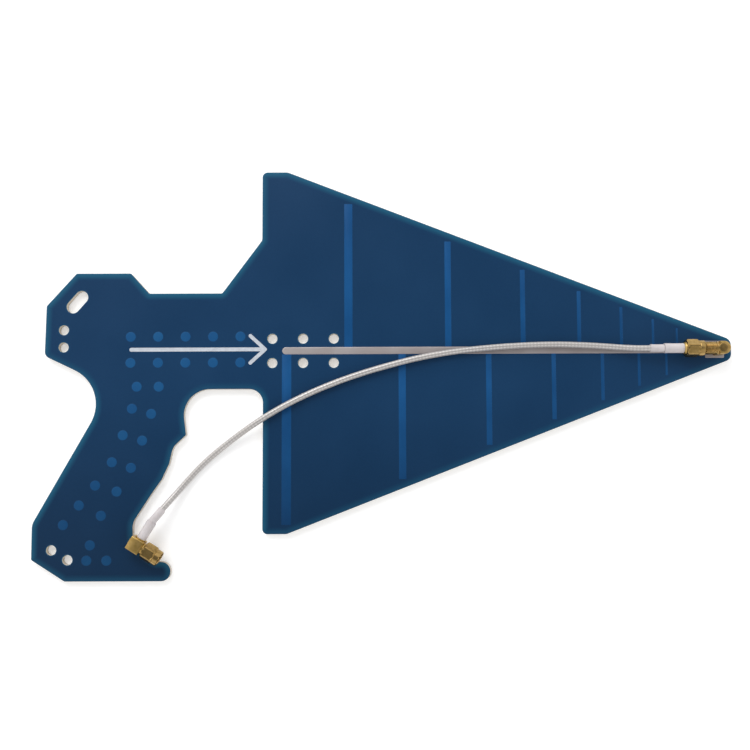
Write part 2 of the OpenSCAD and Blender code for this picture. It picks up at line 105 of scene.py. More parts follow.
HOLES += [(-160.2, 22.2), (-160.2, 13.5), (-164.4, -87.3), (-156.3, -92.1)]
HOLE_R, HOLE_SIDES = 2.5, 48
SLOT_CENTRE, SLOT_ANGLE = (-153.7, 36.4), 49
SLOT_HALF_RUN, SLOT_R = 3.2, 3.25

# Free plug: where its axes cross and the heading of its nut
ELBOW_AT = Vector((-120.9, -84.5, 6.7))
ELBOW_HEADING = -32
lead_dir = Vector((math.cos(math.radians(58)), math.sin(math.radians(58)), 0))

# Centre line of the lead, from inside the free plug to inside the tip plug
ROUTE = [tuple(ELBOW_AT + s * lead_dir) for s in (4.5, 9, 13.6)] + [
    (-111.3, -70.1, 6.5), (-108.9, -67.1, 5.9), (-106, -63.5, 4.7), (-102.4, -59.1, 3),
    (-97.6, -53.4, 1.9), (-91.6, -46.8, 1.6), (-84.8, -40.5, 1.7), (-77.8, -34.9, 2.3),
    (-71, -29.9, 3.5), (-64.4, -25.4, 4.7), (-56.8, -20.6, 5.1), (-48, -15.6, 4.9),
    (-37, -10.2, 4.8), (-25, -5.2, 4.8), (-12, -0.6, 4.8), (3, 3.8, 4.8),
    (19, 7.7, 4.8), (36, 10.6, 4.8), (53, 12.4, 4.8), (70, 13.5, 4.8),
    (86, 13.9, 4.8), (100, 13.5, 4.8), (110, 12.9, 4.9), (118, 12.2, 5.6),
    (125, 11.6, 7.1), (131, 11.4, 8.25), (138, 11.4, 8.25), (145, 11.4, 8.25),
]


def srgb(code):
    """A hex colour as linear red, green, blue and alpha."""
    parts = [int(code[i : i + 2], 16) / 255 for i in (0, 2, 4)]
    return [c / 12.92 if c <= 0.04045 else ((c + 0.055) / 1.055) ** 2.4 for c in parts] + [1]


# ---------------------------------------------------------------- node helpers
def node(tree, kind, inputs=(), **props):
    n = tree.nodes.new(kind)
    for name, value in props.items():
        setattr(n, name, value)
    for key, value in dict(inputs).items():
        if isinstance(value, bpy.types.NodeSocket):
            tree.links.new(value, n.inputs[key])
        else:
            n.inputs[key].default_value = value
    return n


def ramp(tree, factor, stops):
    n = node(tree, "ShaderNodeValToRGB", {0: factor})
    e = n.color_ramp.elements
    while len(e) < len(stops):
        e.new(0.5)
    for item, (place, colour) in zip(e, stops):
        item.position, item.color = place, colour
    return n.outputs[0]


def noise(tree, coords, scale, detail, stretch=(1, 1, 1)):
    at = node(tree, "ShaderNodeMapping", {0: coords, 3: stretch})
    made = node(tree, "ShaderNodeTexNoise",
                {"Vector": at.outputs[0], "Scale": scale, "Detail": detail})
    return made.outputs[0]


def remap(tree, value, low, high, start=0.3, end=0.7):
    n = node(tree, "ShaderNodeMapRange", {0: value, 1: start, 2: end, 3: low, 4: high})
    return n.outputs[0]


def math_node(tree, operation, a, b=0.0):
    return node(tree, "ShaderNodeMath", {0: a, 1: b}, operation=operation).outputs[0]


def blend(tree, factor, a, b, mode="MIX"):
    n = node(tree, "ShaderNodeMix", {0: factor, 6: a, 7: b}, data_type="RGBA", blend_type=mode)
    return n.outputs[2]


def start_material(name):
    m = bpy.data.materials.new(name)
    m.use_nodes = True
    tree = m.node_tree
    coords = node(tree, "ShaderNodeTexCoord").outputs["Object"]
    return m, tree, tree.nodes["Principled BSDF"], coords


def set_in(tree, shader, **values):
    for key, value in values.items():
        socket = shader.inputs[key.replace("_", " ")]
        if isinstance(value, bpy.types.NodeSocket):
            tree.links.new(value, socket)
        else:
            socket.default_value = value


def bumped(tree, shader, height, strength, distance):
    n = node(tree, "ShaderNodeBump", {"Height": height, "Strength": strength, "Distance": distance})
    tree.links.new(n.outputs[0], shader.inputs["Normal"])


def finish_of(name, dark, light, rough, scale, grain, metal=0.0):
    """A surface with mottled colour, uneven roughness and a fine grain."""
    m, tree, shader, coords = start_material(name)
    broad = noise(tree, coords, scale, 4)
    fine = noise(tree, coords, scale * 7, 3)
    set_in(tree, shader,
           Base_Color=ramp(tree, broad, [(0.3, srgb(dark)), (0.7, srgb(light))]),
           Roughness=remap(tree, fine, rough[0], rough[1]), Metallic=metal)
    bumped(tree, shader, fine, 0.5, grain)
    return m


# ---------------------------------------------------------------- materials
def mask_material():
    """Blue solder mask: deep blue, teal where light comes in through the board's edge."""
    m, tree, shader, coords = start_material("board_mask")
    rim = node(tree, "ShaderNodeAttribute", attribute_name="rim").outputs["Fac"]
    broad = noise(tree, coords, 26, 3)
    fine = noise(tree, coords, 900, 2)
    weave = [node(tree, "ShaderNodeTexWave", {"Vector": coords, "Scale": 520, "Distortion": 0.4},
                  bands_direction=d).outputs["Fac"] for d in ("X", "Y")]
    cloth = math_node(tree, "MULTIPLY", weave[0], weave[1])
    mixed = blend(tree, 0.35, broad, fine)
    base = ramp(tree, mixed, [(0.3, srgb("0e3355")), (0.7, srgb("12395d"))])
    base = blend(tree, remap(tree, cloth, 0, 0.14, 0, 1), base, srgb("154168"))
    # painted shade: the mask darkens towards the foot of the grip
    base = painted_shade_toward_foot(tree, coords, base)
    # painted light: teal glow of light coming in through the board's edge
    base = blend(tree, rim, base, srgb("1d5e7b"))
    set_in(tree, shader, Base_Color=base, Roughness=remap(tree, broad, 0.29, 0.35),
           Specular_IOR_Level=0.2)
    both = math_node(tree, "ADD", fine, cloth)
    bumped(tree, shader, both, 0.12, 0.00003)
    return m


def laminate_material():
    """Cut fibreglass edge: pale resin with the plies of glass cloth showing as fine lines."""
    m, tree, shader, coords = start_material("laminate_edge")
    plies = node(tree, "ShaderNodeTexWave", {"Vector": coords, "Scale": 620, "Distortion": 2.5,
                                             "Detail": 2, "Detail Scale": 3},
                 bands_direction="Z").outputs["Fac"]
    fuzz = noise(tree, coords, 2500, 2)
    base = ramp(tree, plies, [(0.2, srgb("c2b9ab")), (0.8, srgb("e0d7c9"))])
    set_in(tree, shader, Base_Color=base, Roughness=0.75, Subsurface_Weight=0.2,
           Subsurface_Radius=(0.002, 0.0024, 0.0018))
    bumped(tree, shader, math_node(tree, "ADD", plies, fuzz), 0.4, 0.00005)
    return m


# Painted shade: colours darken towards the grip's foot, standing in for the light falling off there
FOOT_DARK_Y, FOOT_LIGHT_Y = -0.1, -0.005     # metres: darkest there, full colour above this


def painted_shade_toward_foot(tree, coords, base, least=0.62):
    """Paints shade onto a colour towards the foot of the grip, down to its least share there."""
    down = node(tree, "ShaderNodeSeparateXYZ", {0: coords}).outputs[1]
    shade = remap(tree, down, least, 1.0, FOOT_DARK_Y, FOOT_LIGHT_Y)
    return blend(tree, 1.0, base, shade, "MULTIPLY")


def masked_copper(name, dark, light, least, fade=0.0):
    """Copper under the mask: the same blue, lifted by the metal, fading near the tip, and darkened
    towards the foot by painted shade.
    """
    m, tree, shader, coords = start_material(name)
    broad = noise(tree, coords, 60, 3)
    fine = noise(tree, coords, 1400, 2)
    base = ramp(tree, broad, [(0.3, srgb(dark)), (0.7, srgb(light))])
    tipward = node(tree, "ShaderNodeSeparateXYZ", {0: coords}).outputs[0]
    tip_share = remap(tree, tipward, 0, fade, 0.03, 0.15)
    base = blend(tree, tip_share, base, srgb("15395d"))
    # painted shade: the copper darkens towards the foot of the grip
    set_in(tree, shader, Base_Color=painted_shade_toward_foot(tree, coords, base, least),
           Roughness=remap(tree, fine, 0.36, 0.44), Specular_IOR_Level=0.12)
    bumped(tree, shader, fine, 0.03, 0.00002)
    return m


def tinned_material():
    """Hot-levelled tin: soft waves, faint warm stains and fine scratches along the boom."""
    m, tree, shader, coords = start_material("tinned_copper")
    waves = noise(tree, coords, 160, 3, (0.35, 1, 1))
    stains = noise(tree, coords, 45, 2)
    lines = noise(tree, coords, 2600, 2, (0.03, 1, 1))
    base = ramp(tree, stains, [(0.35, srgb("a19795")), (0.65, srgb("b1aaaa"))])
    set_in(tree, shader, Base_Color=base, Metallic=0.5,
           Roughness=remap(tree, lines, 0.38, 0.5))
    bumped(tree, shader, math_node(tree, "ADD", waves, math_node(tree, "MULTIPLY", lines, 0.15)),
           0.35, 0.0002)
    return m


def gold_material(name, dark, light, rough, grain):
    """Gold plate: warm, a touch darker in patches, with fine machining marks."""
    return finish_of(name, dark, light, rough, 420, grain, metal=1.0)


def sleeve_material():
    """White heat-shrink: waxy, slightly uneven where it gripped the braid."""
    m, tree, shader, coords = start_material("shrink_sleeve")
    broad = noise(tree, coords, 260, 3)
    fine = noise(tree, coords, 1800, 2)
    base = ramp(tree, broad, [(0.3, srgb("cac3c4")), (0.7, srgb("d5cfd0"))])
    set_in(tree, shader, Base_Color=base, Roughness=remap(tree, fine, 0.38, 0.5),
           Subsurface_Weight=0.25, Subsurface_Radius=(0.0012, 0.0011, 0.001))
    bumped(tree, shader, broad, 0.25, 0.00012)
    return m


BRAID_STARTS = 4            # bundles round the lead in each direction
BRAID_LAY = 3.4             # millimetres along the lead for a full turn of the pattern
WIRES_A_BUNDLE = 5


def braid_material():
    """Tinned braid under a clear jacket: crossing strands from the tube's own length and girth."""
    m, tree, shader, coords = start_material("braid_lead")
    uv = node(tree, "ShaderNodeUVMap", uv_map="along").outputs[0]
    split = node(tree, "ShaderNodeSeparateXYZ", {0: uv}).outputs
    around = math_node(tree, "MULTIPLY", split[1], math.tau * BRAID_STARTS)
    along = math_node(tree, "MULTIPLY", split[0], math.tau / BRAID_LAY)
    rising = math_node(tree, "ADD", around, along)
    falling = math_node(tree, "SUBTRACT", around, along)
    woven = math_node(tree, "MULTIPLY", math_node(tree, "SINE", rising),
                      math_node(tree, "SINE", falling))
    strands = math_node(tree, "SINE", math_node(tree, "MULTIPLY", rising, WIRES_A_BUNDLE))
    dirt = noise(tree, coords, 90, 3)
    base = ramp(tree, woven, [(0.0, srgb("b0acaa")), (0.55, srgb("cac6c4"))])
    base = blend(tree, remap(tree, dirt, 0.0, 0.3), base, srgb("c2bcb4"))
    set_in(tree, shader, Base_Color=base, Metallic=0.3, Roughness=remap(tree, dirt, 0.34, 0.42),
           Coat_Weight=0.7, Coat_Roughness=0.12)
    height = math_node(tree, "ADD", woven, math_node(tree, "MULTIPLY", strands, 0.2))
    bumped(tree, shader, height, 0.1, 0.0001)
    return m


MATS = {
    "board_mask": mask_material(),
    "laminate_edge": laminate_material(),
    "masked_copper": masked_copper("masked_copper", "12497c", "185389", 0.42, 0.45),
    "masked_pads": masked_copper("masked_pads", "174c7d", "1c5585", 0.62),
    "tinned_copper": tinned_material(),
    "white_ink": finish_of("white_ink", "b8bdc6", "c8ced7", (0.5, 0.65), 500, 0.00002),
    "gold_plate": gold_material("gold_plate", "ad8f50", "c8a869", (0.29, 0.4), 0.00002),
    "nut_gold": gold_material("nut_gold", "987d49", "b39560", (0.16, 0.24), 0.00001),
    "contact_gold": gold_material("contact_gold", "cda257", "e2bb6c", (0.15, 0.24), 0.00001),
    "insulator": finish_of("insulator", "e6e5de", "f3f2ec", (0.35, 0.5), 600, 0.00002),
    "solder": finish_of("solder", "a5a5a4", "c4c4c2", (0.2, 0.35), 500, 0.00005, metal=1.0),
    "spring_ring": gold_material("spring_ring", "9c7a42", "b8945a", (0.3, 0.4), 0.00002),
    "gasket": finish_of("gasket", "7a2a17", "96371f", (0.55, 0.7), 700, 0.00003),
    "shrink_sleeve": sleeve_material(),
    "braid_lead": braid_material(),
}


# ---------------------------------------------------------------- mesh helpers
def piece(name, parts, mats, body="antenna", replaces=None, sharp=32, uv=None):
    """Joins (points, faces, material numbers) lists, all in millimetres, into one object."""
    points, faces, numbers = [], [], []
    for p, f, n in parts:
        shift = len(points)
        points += [tuple(c * MM for c in q) for q in p]
        faces += [tuple(i + shift for i in face) for face in f]
        numbers += n
    mesh = bpy.data.meshes.new(name)
    mesh.from_pydata(points, [], faces)
    if uv:
        layer = mesh.uv_layers.new(name="along")
        for i, pair in enumerate(uv):
            layer.data[i].uv = pair
    for m in mats:
        mesh.materials.append(MATS[m])
    mesh.polygons.foreach_set("material_index", numbers)
    work = bmesh.new()
    work.from_mesh(mesh)
    bmesh.ops.recalc_face_normals(work, faces=work.faces)
    work.to_mesh(mesh)
    work.free()
    mesh.polygons.foreach_set("use_smooth", [True] * len(mesh.polygons))
    mesh.set_sharp_from_angle(angle=math.radians(sharp))
    made = bpy.data.objects.new(name, mesh)
    scene.collection.objects.link(made)
    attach(made, body)
    if replaces:
        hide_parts(replaces)
    return made


ARC_STEP = 5.0          # degrees between the points of a rounded corner
SHARPEST_R = 0.04       # a corner that is moved inwards keeps at least this radius


def ring_of(corners, inset):
    """Points of a clockwise outline moved inwards, with each corner's own arc."""
    out = []
    for i, (cx, cy, r) in enumerate(corners):
        here = Vector((cx, cy))
        before, after = Vector(corners[i - 1][:2]), Vector(corners[(i + 1) % len(corners)][:2])
        d1, d2 = (here - before).normalized(), (after - here).normalized()
        n1, n2 = Vector((d1.y, -d1.x)), Vector((d2.y, -d2.x))
        outer = d1.cross(d2) < 0
        at = here + (n1 + n2) * (inset / (1 + n1.dot(n2)))
        r = max(r - inset, SHARPEST_R) if outer else r + inset
        half = (math.pi - d1.angle(d2)) / 2
        hub = at + (d2 - d1).normalized() * (r / math.sin(half))
        start = at - d1 * (r / math.tan(half)) - hub
        sweep = d1.angle_signed(d2)
        steps = max(2, math.ceil(abs(math.degrees(sweep)) / ARC_STEP))
        a0 = math.atan2(start.y, start.x)
        angles = [a0 - sweep * k / steps for k in range(steps + 1)]
        out += [hub + r * Vector((math.cos(a), math.sin(a))) for a in angles]
    return out


def band(a, b, count):
    """Quads between two rings of points that start at numbers a and b."""
    return [(a + k, a + (k + 1) % count, b + (k + 1) % count, b + k) for k in range(count)]


def block(corners, z0, z1, edge, place=None, foot=True):
    """A prism over a rounded outline, with its top edge, and its foot's, rounded by edge."""
    levels = [(edge, z0), (edge * 0.3, z0 + edge * 0.3), (0, z0 + edge)] if foot else [(0, z0)]
    levels += [(0, z1 - edge), (edge * 0.3, z1 - edge * 0.3), (edge, z1)]
    points, faces = [], []
    for inset, z in levels:
        points += [Vector((p.x, p.y, z)) for p in ring_of(corners, inset)]
    n = len(points) // len(levels)
    for k in range(len(levels) - 1):
        faces += band(k * n, (k + 1) * n, n)
    faces += [tuple(range(n)), tuple(range((len(levels) - 1) * n, len(levels) * n))]
    if place:
        points = [place @ p for p in points]
    return points, faces, [0] * len(faces)


def box_corners(x0, x1, y0, y1, r):
    """Corners of a rectangle for ring_of, clockwise."""
    return [(x0, y1, r), (x1, y1, r), (x1, y0, r), (x0, y0, r)]


def lathe(profile, place, sides, solid=False, mat=0):
    """Turns a profile of (station, radius, kind) about local Z; kind is '', 'hex' or 'thread'."""
    points, faces = [], []
    for z, r, kind in profile:
        for k in range(sides):
            a = math.tau * k / sides
            at = r
            if kind == "hex":
                at = min(r, NUT_AF / 2 / math.cos(a % (math.pi / 3) - math.pi / 6))
            elif kind == "thread":
                at = r + THREAD_DEPTH * math.cos(math.tau * z / THREAD_PITCH - a)
            points.append(place @ Vector((at * math.cos(a), at * math.sin(a), z)))
    rows = len(profile)
    for i in range(rows - 1 if solid else rows):
        faces += band(i * sides, (i + 1) % rows * sides, sides)
    if solid:
        faces += [tuple(range(sides)), tuple(range((rows - 1) * sides, rows * sides))]
    return points, faces, [mat] * len(faces)


def smooth(pts, steps):
    """Catmull-Rom curve through the points."""
    pts = [Vector(p) for p in pts]
    out = []
    for i in range(len(pts) - 1):
        a, b, c, d = pts[max(i - 1, 0)], pts[i], pts[i + 1], pts[min(i + 2, len(pts) - 1)]
        for k in range(steps):
            t = k / steps
            out.append(0.5 * (2 * b + (c - a) * t + (2 * a - 5 * b + 4 * c - d) * t * t
                              + (3 * b - a - 3 * c + d) * t ** 3))
    return out + [pts[-1]]


def tube(path, radii, sides):
    """A closed tube along a path, and its corners' places as (length, girth) in mm and turns."""
    points, faces, uv, run = [], [], [], [0.0]
    for a, b in zip(path, path[1:]):
        run.append(run[-1] + (b - a).length)
    for i, at in enumerate(path):
        ahead = (path[min(i + 1, len(path) - 1)] - path[max(i - 1, 0)]).normalized()
        side = Z.cross(ahead).normalized()
        over = ahead.cross(side)
        for k in range(sides):
            a = math.tau * k / sides
            points.append(at + radii[i] * (math.cos(a) * side + math.sin(a) * over))
    for i in range(len(path) - 1):
        faces += band(i * sides, (i + 1) * sides, sides)
        for k in range(sides):
            v = [k / sides, (k + 1) / sides]
            uv += [(run[i], v[0]), (run[i], v[1]), (run[i + 1], v[1]), (run[i + 1], v[0])]
    faces += [tuple(range(sides)), tuple(range((len(path) - 1) * sides, len(path) * sides))]
    uv += [(0, 0)] * (2 * sides)
    return (points, faces, [0] * len(faces)), uv


def at_tip(x, turn=0.0):
    """Places a turned part on the tip connector's axis, its station 0 at x."""
    return (Matrix.Translation(Vector((x, BOOM_Y, JACK_Z))) @ Matrix.Rotation(math.pi / 2, 4, "Y")
            @ Matrix.Rotation(math.radians(turn), 4, "Z"))


def at_elbow(turn=0.0):
    """Places a turned part on the free plug's axis, its station 0 where the axes cross."""
    return (Matrix.Translation(ELBOW_AT) @ Matrix.Rotation(math.radians(ELBOW_HEADING + 90), 4, "Z")
            @ Matrix.Rotation(math.pi / 2, 4, "X") @ Matrix.Rotation(math.radians(turn), 4, "Z"))


# ---------------------------------------------------------------- the lead comes first
path = smooth(ROUTE, 22)
made, corner_uv = tube(path, [CABLE_R] * len(path), 32)
lead = piece("lead_braid", [made], ["braid_lead"], replaces="coax_cable", uv=corner_uv)


# ---------------------------------------------------------------- board
def hole_rings(centre, shape):
    """Rings round one opening: its wall, the rounded rim and a strip of the flat face."""
    return [[Vector(centre) + p for p in shape(grow)] for grow in (0, 0.05, 0.15, 0.5)]


def round_shape(grow):
    """A round hole about its centre, wider by grow."""
    return [(HOLE_R + grow) * Vector((math.cos(a), math.sin(a)))
            for a in (math.tau * k / HOLE_SIDES for k in range(HOLE_SIDES))]


def slot_shape(grow):
    """The lanyard slot about its centre, wider by grow: two half circles."""
    turn = Matrix.Rotation(math.radians(SLOT_ANGLE), 2)
    steps = HOLE_SIDES // 2
    out = []
    for side in (1, -1):
        for k in range(steps + 1):
            a = -math.pi / 2 + math.pi * k / steps + (0 if side > 0 else math.pi)
            out.append(turn @ (Vector((side * SLOT_HALF_RUN, 0))
                               + (SLOT_R + grow) * Vector((math.cos(a), math.sin(a)))))
    return out


def inside(p, loop):
    """Whether a point lies within a closed loop of points."""
    odd = False
    for a, b in zip(loop, loop[1:] + loop[:1]):
        if (a.y > p.y) != (b.y > p.y) and p.x < a.x + (p.y - a.y) / (b.y - a.y) * (b.x - a.x):
            odd = not odd
    return odd


# Painted light: the edge's teal glow is stronger on edges that face the light from above
GLOW_MEAN, GLOW_SWING, GLOW_SIDE = 0.56, 0.26, Vector((-0.25, 0.97))


def painted_edge_glow(before, after):
    """How strongly the painted teal glow shows at an edge: most on the upper edges, which face the
    light, least on the lower.
    """
    along = (after - before).normalized()
    outward = Vector((-along.y, along.x))
    return GLOW_MEAN + GLOW_SWING * outward.dot(GLOW_SIDE)


BOARD_BACK = 0.03
EDGE_LEVELS = [(0.12, 0.0), (0.04, 0.05), (0.0, 0.15)]  # below the face, inwards from the edge
RIM_LEVELS = [(0.55, 1.0), (1.3, 0.8), (2.2, 0.42), (3.4, 0.0)]  # inwards from the edge, rim value
HOLE_LEVELS = [(0.12, 0.6), (0.04, 0.6), (0, 0.6), (0, 0)]  # below the face, rim value, by ring
NEAR_AN_OPENING = 8


def make_board():
    """The plate with rounded routed edges; 'rim' tells how strongly the painted edge glow shows at a
    point: near the outer edge and round the openings, more on the upper edges.
    """
    edge = ring_of(OUTLINE, 0)
    glow = [painted_edge_glow(a, b) for a, b in zip(edge[-1:] + edge[:-1], edge[1:] + edge[:1])]
    points, faces, rims = [], [], []

    def add_ring(ring, z, rim):
        first = len(points)
        points.extend((p.x, p.y, z) for p in ring)
        outer = len(ring) == len(glow)
        rims.extend(rim * g for g in (glow if outer else [1.0] * len(ring)))
        return first

    openings = [hole_rings(h, round_shape) for h in HOLES]
    openings.append(hole_rings(SLOT_CENTRE, slot_shape))
    mouths = [(Vector(c), rings[-1]) for c, rings in zip(HOLES + [SLOT_CENTRE], openings)]
    walls = []
    for face_z, sign in ((BOARD_T, 1), (BOARD_BACK, -1)):
        starts = []
        for depth, inset in EDGE_LEVELS:
            starts.append(add_ring(ring_of(OUTLINE, inset), face_z - sign * depth, 1.0))
        for inset, rim in RIM_LEVELS:
            starts.append(add_ring(ring_of(OUTLINE, inset), face_z, rim))
        n = len(edge)
        for a, b in zip(starts, starts[1:]):
            faces.extend(band(a, b, n))
        inner = [(starts[-1], n)]
        walls.append([(starts[0], n)])
        for rings in openings:
            firsts = [add_ring(ring, face_z - sign * depth, rim)
                      for ring, (depth, rim) in zip(rings, HOLE_LEVELS)]
            for a, b in zip(firsts, firsts[1:]):
                faces.extend(band(a, b, len(rings[0])))
            inner.append((firsts[-1], len(rings[0])))
            walls[-1].append((firsts[0], len(rings[0])))
        ids = [first + k for first, n in inner for k in range(n)]
        flat = [Vector(points[i][:2]) for i in ids]
        number = {i: k for k, i in enumerate(ids)}
        edges = [(number[first + k], number[first + (k + 1) % n])
                 for first, n in inner for k in range(n)]
        outline = flat[:n]
        verts, _, tris, origin, _, _ = delaunay_2d_cdt(flat, edges, [], 0, 1e-6, True)
        for tri in tris:
            middle = sum((verts[i] for i in tri), Vector((0, 0))) / 3
            open_here = any((middle - c).length < NEAR_AN_OPENING and inside(middle, mouth)
                            for c, mouth in mouths)
            if inside(middle, outline) and not open_here:
                faces.append(tuple(ids[origin[i][0]] for i in tri))
    numbers = [0] * len(faces)
    for (top, n), (low, _) in zip(*walls):
        faces.extend(band(top, low, n))
        numbers.extend([1] * n)
    made = piece("board_laminate", [(points, faces, numbers)], ["board_mask", "laminate_edge"],
                 replaces="board", sharp=28)
    tint = made.data.attributes.new("rim", "FLOAT", "POINT")
    tint.data.foreach_set("value", rims)


make_board()

# ---------------------------------------------------------------- copper
ARM_COUNT = 14
TAU = 0.8662                # each arm's distance from the array's apex to the one before
ARRAY_APEX_X, FIRST_ARM_D = 183.0, 231.4
ARM_W_BASE, ARM_W_RATE = 0.35, 0.0189
HORN_APEX_X, HORN_SLOPE = 186.8, 0.388
ARM_MARGIN = 4.6            # an arm's end stays this far inside the slanting edge
STRIPE_HALF_W = 1.8
COPPER_EDGE = 0.035


def arm_corners(n):
    """Outline of one dipole arm; even arms point down from the boom on the front."""
    d = FIRST_ARM_D * TAU ** n
    x, w = ARRAY_APEX_X - d, ARM_W_BASE + ARM_W_RATE * d
    reach = HORN_SLOPE * (HORN_APEX_X - x) - ARM_MARGIN
    low, high = (-reach, -STRIPE_HALF_W) if n % 2 == 0 else (STRIPE_HALF_W, reach)
    return box_corners(x - w / 2, x + w / 2, BOOM_Y + low, BOOM_Y + high, 0.2)


piece("dipole_arms_front",
      [block(arm_corners(n), BOARD_T - 0.02, FRONT_Z, COPPER_EDGE, foot=False)
       for n in range(ARM_COUNT)],
      ["masked_copper"], replaces="front_elements")

STRIPE_FROM = -50.612
TIN_CREST = 0.1             # height of the tin on the boom
PAD_X = (161.2, 170.6)
PAD_HALF_W, PAD_CREST = 4.3, 0.08


def crowned(stations, profile):
    """A strip along X; stations are (x, half width, height), profile is (share, share)."""
    points, faces = [], []
    for x, half, height in stations:
        points += [Vector((x, BOOM_Y + half * s, BOARD_T - 0.01 + height * h)) for s, h in profile]
    n = len(profile)
    for i in range(len(stations) - 1):
        faces += [(i * n + k, i * n + k + 1, (i + 1) * n + k + 1, (i + 1) * n + k)
                  for k in range(n - 1)]
        faces.append((i * n + n - 1, i * n, (i + 1) * n, (i + 1) * n + n - 1))
    faces += [tuple(range(n)), tuple(range((len(stations) - 1) * n, len(stations) * n))]
    return points, faces, [0] * len(faces)


CROWN = [(-1, 0), (-0.97, 0.35), (-0.9, 0.62), (-0.78, 0.85), (-0.6, 0.97), (-0.3, 1), (0, 1),
         (0.3, 1), (0.6, 0.97), (0.78, 0.85), (0.9, 0.62), (0.97, 0.35), (1, 0)]


def stripe_stations():
    """The boom stripe's stations: a round end, then a gently waving crest up to the pad."""
    out = []
    for k in range(9):
        a = math.pi / 2 * (0.1 + 0.9 * k / 8)
        out.append((STRIPE_FROM + STRIPE_HALF_W * (1 - math.cos(a)),
                    STRIPE_HALF_W * math.sin(a), TIN_CREST * math.sin(a)))
    x = STRIPE_FROM + STRIPE_HALF_W
    while x < PAD_X[0]:
        x += 1.6
        wave = 0.012 * math.sin(0.31 * x) + 0.008 * math.sin(0.83 * x + 1.1)
        out.append((min(x, PAD_X[0] + 0.1), STRIPE_HALF_W, TIN_CREST + wave))
    return out


piece("boom_tinning", [crowned(stripe_stations(), CROWN)], ["tinned_copper"],
      replaces="front_boom", sharp=60)
pad_crown = [(s, 0.3 + 0.7 * h if abs(s) < 1 else 0) for s, h in CROWN]
piece("tip_ground_pad",
      [crowned([(PAD_X[0] + d, PAD_HALF_W - r, PAD_CREST) for d, r in
                ((0, 0.25), (0.25, 0), (5, 0.02), (9.15, 0), (9.4, 0.25))], pad_crown)],
      ["tinned_copper"], sharp=60)

PAD_ROW = [-126.6 + 13.75 * i for i in range(5)]
PADS = [(x, 18.7) for x in PAD_ROW] + [(x, 5.6) for x in PAD_ROW] + [
    (-123.3, -6.4), (-112.3, -6.4), (-125.5, -17.4), (-115.9, -20), (-129.9, -30.6),
    (-120.2, -33.3), (-135.1, -44), (-125.6, -46.8), (-143.2, -55.5), (-132.5, -58.5),
    (-151.1, -65.3), (-140.1, -70.4), (-158.8, -74.9), (-145.3, -84.9), (-146.9, -92.4),
    (-137, -92.4),
]
dot = [(BOARD_T - 0.02, 2.5, ""), (BOARD_T, 2.5, ""), (BOARD_T + 0.025, 2.46, ""),
       (FRONT_Z, 2.38, ""), (FRONT_Z + 0.01, 1.6, ""), (FRONT_Z + 0.014, 0.6, "")]
piece("grip_dots", [lathe(dot, Matrix.Translation(Vector((x, y, 0))), 40, True) for x, y in PADS],
      ["masked_pads"], replaces="grip_pads")


# ---------------------------------------------------------------- connectors
RINGS_A_TURN = 10


def threaded(r, z0, z1):
    """Profile points of a screw thread between two stations."""
    count = round((z1 - z0) / THREAD_PITCH * RINGS_A_TURN)
    return [(z0 + (z1 - z0) * k / count, r, "thread") for k in range(count + 1)]


def nut_profile():
    """Coupling nut: chamfered hexagon, plain collar, lip, relief and inside thread."""
    inside = list(reversed(threaded(3.3, 4.5, 8.6)))
    return ([(0, 3.1, ""), (0, 3.85, "hex"), (0.1, 4.0, "hex"), (0.5, 4.5, "hex"),
             (1.2, 4.5, "hex"), (5.0, 4.5, "hex"), (5.7, 4.5, "hex"), (6.1, 4.0, "hex"),
             (6.2, 3.92, ""), (6.35, 3.8, ""), (6.55, 3.93, ""), (8.6, 3.93, ""),
             (8.85, 3.87, ""), (9.0, 3.7, ""), (9.0, 3.55, ""), (8.75, 3.3, "")]
            + inside + [(4.3, 3.45, ""), (1.4, 3.45, ""), (1.4, 2.95, ""), (0.15, 2.95, "")])


NECK = [(-1.2, 2.88, ""), (1.5, 2.88, ""), (1.5, 2.5, ""), (2.2, 2.5, ""), (2.2, 2.88, ""),
        (3.55, 2.88, ""), (3.6, 2.83, ""), (3.6, 2.28, ""), (6.1, 2.28, ""), (6.18, 2.2, ""),
        (6.18, 2.05, ""), (-1.0, 2.05, "")]

# Jack: threaded barrel, flange, block with a pressed cap, four legs
JACK_FRONT, JACK_PIN_X, JACK_BLOCK_TOP = 153.6, 167.55, 11.35
LEG_DX, LEG_DY = 2, 2.54
barrel = ([(0, 2.34, ""), (0, 2.9, ""), (0.3, 3.1, "")]
          + threaded(3.05, 0.5, 10.3)
          + [(10.5, 2.95, ""), (10.7, 2.95, ""), (10.85, 3.2, ""), (10.95, 3.28, ""),
             (11.75, 3.28, ""), (11.75, 2.07, ""), (1.9, 2.07, ""), (1.9, 2.34, "")])
jack_block = block([(165.25, 14.6, 0.25), (170.75, 14.6, 3.18), (170.75, 8.2, 3.18),
                    (165.25, 8.2, 0.25)], FRONT_Z, JACK_BLOCK_TOP, 0.3)
cap_at = Matrix.Translation(Vector((JACK_PIN_X, BOOM_Y, JACK_BLOCK_TOP)))
jack_cap = lathe([(-0.25, 2.72, ""), (-0.02, 2.72, ""), (-0.12, 2.6, ""), (-0.12, 2.5, ""),
                  (0.04, 2.46, ""), (0.1, 2.36, ""), (0.1, 1.2, ""), (0.09, 0.4, "")],
                 cap_at, 64, True, mat=1)
legs = [lathe([(0.03, 0.3, ""), (0.15, 0.45, ""), (3.4, 0.45, "")],
              Matrix.Translation(Vector((JACK_PIN_X + i * LEG_DX, BOOM_Y + j * LEG_DY, 0))), 20, True)
        for i in (-1, 1) for j in (-1, 1)]
piece("jack_shell", [lathe(barrel, at_tip(JACK_FRONT), 96, mat=1), jack_block, jack_cap] + legs,
      ["gold_plate", "nut_gold"], replaces="jack_body")

